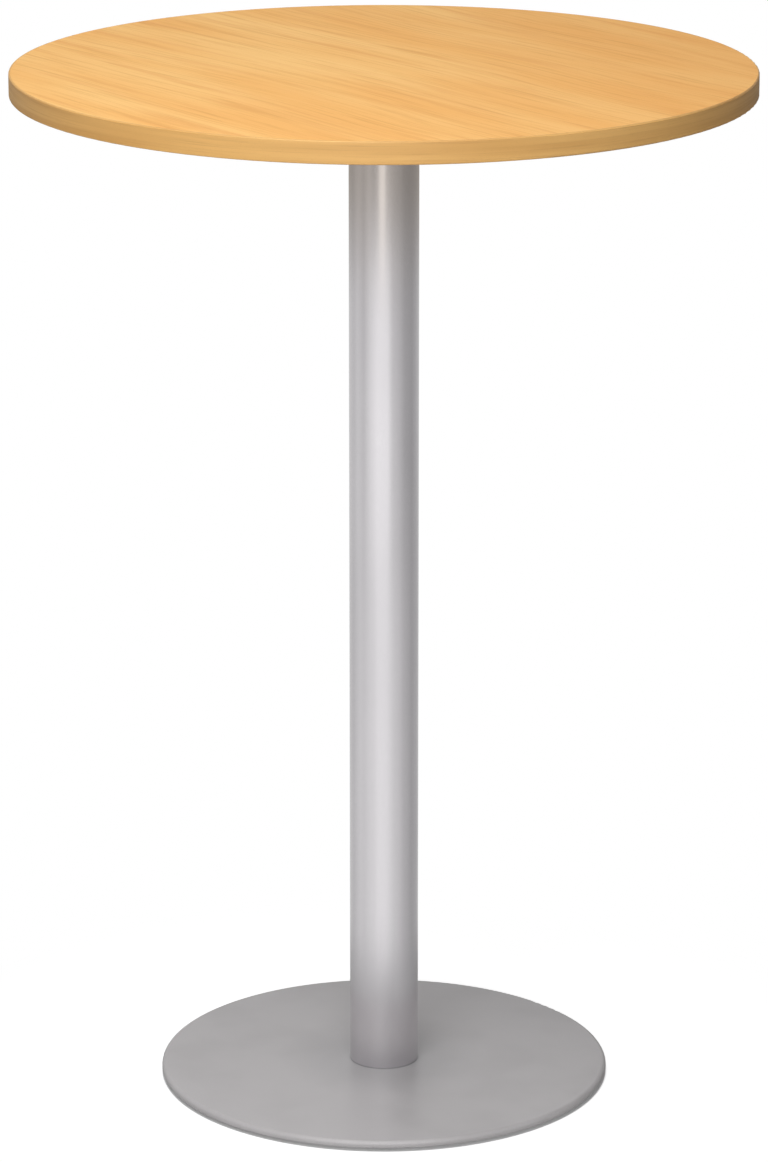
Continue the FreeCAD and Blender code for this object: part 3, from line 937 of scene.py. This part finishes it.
class StagePaint(Surface):
    """A material of the stage, made of plain shaders."""

    def __init__(self, name):
        super().__init__(name)
        self.tree.nodes.clear()
        self.output = self.node("ShaderNodeOutputMaterial")
        self.find_coordinates()

    def glow(self, strength=1.0, tone=grey(1.0)):
        """Light that comes from the surface itself."""
        made = self.node("ShaderNodeEmission")
        self.feed(made.inputs["Color"], tone)
        self.feed(made.inputs["Strength"], strength)
        return made.outputs["Emission"]

    def add(self, first, second):
        """Both shaders at once."""
        made = self.node("ShaderNodeAddShader")
        self.feed(made.inputs[0], first)
        self.feed(made.inputs[1], second)
        return made.outputs["Shader"]

    def mix(self, share, first, second):
        """From one shader to another by a share."""
        made = self.node("ShaderNodeMixShader")
        self.feed(made.inputs["Fac"], share)
        self.feed(made.inputs[1], first)
        self.feed(made.inputs[2], second)
        return made.outputs["Shader"]

    def share_of_turn(self):
        """How far round the table a point stands, from 0 to 1, with the front at a half."""
        return self.spread(self.turn(), -math.pi, math.pi, way="LINEAR")

    def glow_round(self, share, stops, tint):
        """A ramp of light over one turn round the table, in a tint."""
        ramp = self.node("ShaderNodeValToRGB")
        self.feed(ramp.inputs["Fac"], share)
        elements = ramp.color_ramp.elements
        elements.remove(elements[-1])
        for number, (degrees, light) in enumerate(stops):
            place = (degrees + 180) / 360
            stop = elements[0] if number == 0 else elements.new(place)
            stop.position = place
            stop.color = (*(light * part for part in tint), 1)
        return ramp.outputs["Color"]

    def show(self, shader):
        """Makes a shader the material's own."""
        self.feed(self.output.inputs["Surface"], shader)


PLAIN_TINT = (1, 1, 1)
WARM_TINT = (0.96, 0.88, 0.77)
# how bright the low curtain, and the floor in gloss, are round the table: degrees from the front to the right
CURTAIN_GLOW = (
    (-180, 0.7), (-120, 0.6), (-102, 0.68), (-86, 0.74), (-68, 0.72), (-50, 0.8), (-32, 0.85), (-20, 0.94),
    (0, 0.94), (10, 0.91), (20, 0.84), (32, 0.74), (50, 0.67), (68, 0.54), (86, 0.48), (102, 0.41),
    (135, 0.47), (180, 0.7),
)
# how bright the curtain is at half height, where its bright part has sharper sides
CURTAIN_GLOW_MIDDLE = (
    (-180, 0.7), (-112, 0.64), (-95, 0.74), (-68, 0.63), (-45, 0.86), (-22, 1.03), (12, 1.0), (27, 0.71),
    (50, 0.59), (70, 0.44), (102, 0.38), (180, 0.7),
)
# and how bright higher up, where it is darker and its bright part is narrow
CURTAIN_GLOW_HIGH = (
    (-180, 0.42), (-120, 0.4), (-102, 0.47), (-86, 0.5), (-68, 0.43), (-50, 0.52), (-32, 0.42), (-20, 0.52),
    (-11, 0.92), (0, 0.92), (9, 0.54), (20, 0.48), (32, 0.43), (50, 0.38), (68, 0.31), (86, 0.29),
    (102, 0.29), (180, 0.42),
)
# the layers of the curtain above the lowest, and between which heights each comes in
CURTAIN_LAYERS = (
    (CURTAIN_GLOW_MIDDLE, PLAIN_TINT, (0.3, 0.6)),
    (CURTAIN_GLOW_HIGH, WARM_TINT, (0.72, 0.92)),
    (CURTAIN_GLOW_HIGH, PLAIN_TINT, (1.0, 1.12)),
)
CURTAIN_RADIUS = 0.65
CURTAIN_HEIGHT = 3.0
CURTAIN_SIDES = 120

FLOOR_REACH = 8
FLOOR_COLOUR = 0.6
# how far the floor is lifted towards white, how little in the gap under the plate, and the edge between them
FLOOR_LIFT = 0.74
GAP_LIFT = 0.12
GAP_EDGE = (PLATE_RADIUS - 0.001, PLATE_RADIUS + 0.001)
# the faint glow that lights the plate's underside, and where it ends
GAP_GLOW = 0.45
GAP_GLOW_END = (PLATE_RADIUS - 0.012, PLATE_RADIUS - 0.006)
# how far out the floor turns from paint that keeps the shadow to plain white, seen straight and in gloss
SHADOW_FADE = (0.26, 0.55)
GLOSS_FADE = (0.25, 0.55)


def floor_paint():
    """Pale floor: near the table it is lit and keeps the shadow, further out it is plain white.

    From below it isn't seen at all.
    """
    floor = StagePaint("studio_floor")
    reach = floor.reach()
    diffuse = floor.node("ShaderNodeBsdfDiffuse")
    floor.feed(diffuse.inputs["Color"], grey(FLOOR_COLOUR))
    paint = diffuse.outputs["BSDF"]
    lifted = floor.add(paint, floor.glow(floor.spread(reach, *GAP_EDGE, GAP_LIFT, FLOOR_LIFT)))
    shaded = floor.add(paint, floor.glow(floor.spread(reach, *GAP_GLOW_END, GAP_GLOW, 0)))
    straight = floor.mix(floor.spread(reach, *SHADOW_FADE), lifted, floor.glow())
    as_curtain = floor.glow(tone=floor.glow_round(floor.share_of_turn(), CURTAIN_GLOW, PLAIN_TINT))
    in_gloss = floor.mix(floor.spread(reach, *GLOSS_FADE), shaded, as_curtain)
    path = floor.node("ShaderNodeLightPath").outputs
    seen = floor.mix(path["Is Glossy Ray"], straight, in_gloss)
    above = floor.mix(floor.background_rays(), shaded, seen)
    side = floor.node("ShaderNodeNewGeometry").outputs["Backfacing"]
    nothing = floor.node("ShaderNodeBsdfTransparent").outputs["BSDF"]
    floor.show(floor.mix(side, above, nothing))
    return floor.material


def lay_floor():
    """The floor under the table."""
    bpy.ops.object.select_all(action="DESELECT")
    bpy.ops.mesh.primitive_plane_add(size=2 * FLOOR_REACH, location=(0, 0, 0))
    floor = bpy.context.active_object
    floor.name = "studio_floor"
    floor.data.materials.append(floor_paint())


def curtain_cloth():
    """Cloth that glows softly: brightest in front, darker to the right and higher up."""
    cloth = StagePaint("studio_curtain")
    height = cloth.height()
    share = cloth.share_of_turn()
    tone = cloth.glow_round(share, CURTAIN_GLOW, PLAIN_TINT)
    for stops, tint, heights in CURTAIN_LAYERS:
        tone = cloth.blend(cloth.spread(height, *heights), tone, cloth.glow_round(share, stops, tint))
    cloth.show(cloth.glow(tone=tone))
    return cloth.material


def hang_curtain():
    """A curtain of soft light round the table, which only the gloss of the table sees."""
    bpy.ops.object.select_all(action="DESELECT")
    bpy.ops.mesh.primitive_cylinder_add(
        vertices=CURTAIN_SIDES, radius=CURTAIN_RADIUS, depth=CURTAIN_HEIGHT, end_fill_type="NOTHING",
        location=(0, 0, CURTAIN_HEIGHT / 2),
    )
    curtain = bpy.context.active_object
    curtain.name = "studio_curtain"
    settle(curtain)
    curtain.visible_camera = False
    curtain.visible_diffuse = False
    curtain.visible_shadow = False
    curtain.visible_transmission = False
    curtain.data.materials.append(curtain_cloth())


def light_the_studio():
    """The background, the floor, the curtain and the lamps."""
    light_the_world()
    lay_floor()
    hang_curtain()
    for name, settings in SOFTBOXES.items():
        hang_softbox(name, *settings)


bpy.context.scene.view_settings.view_transform = "Standard"
dress_the_frame()
make_small_parts()
place_camera()
light_the_studio()
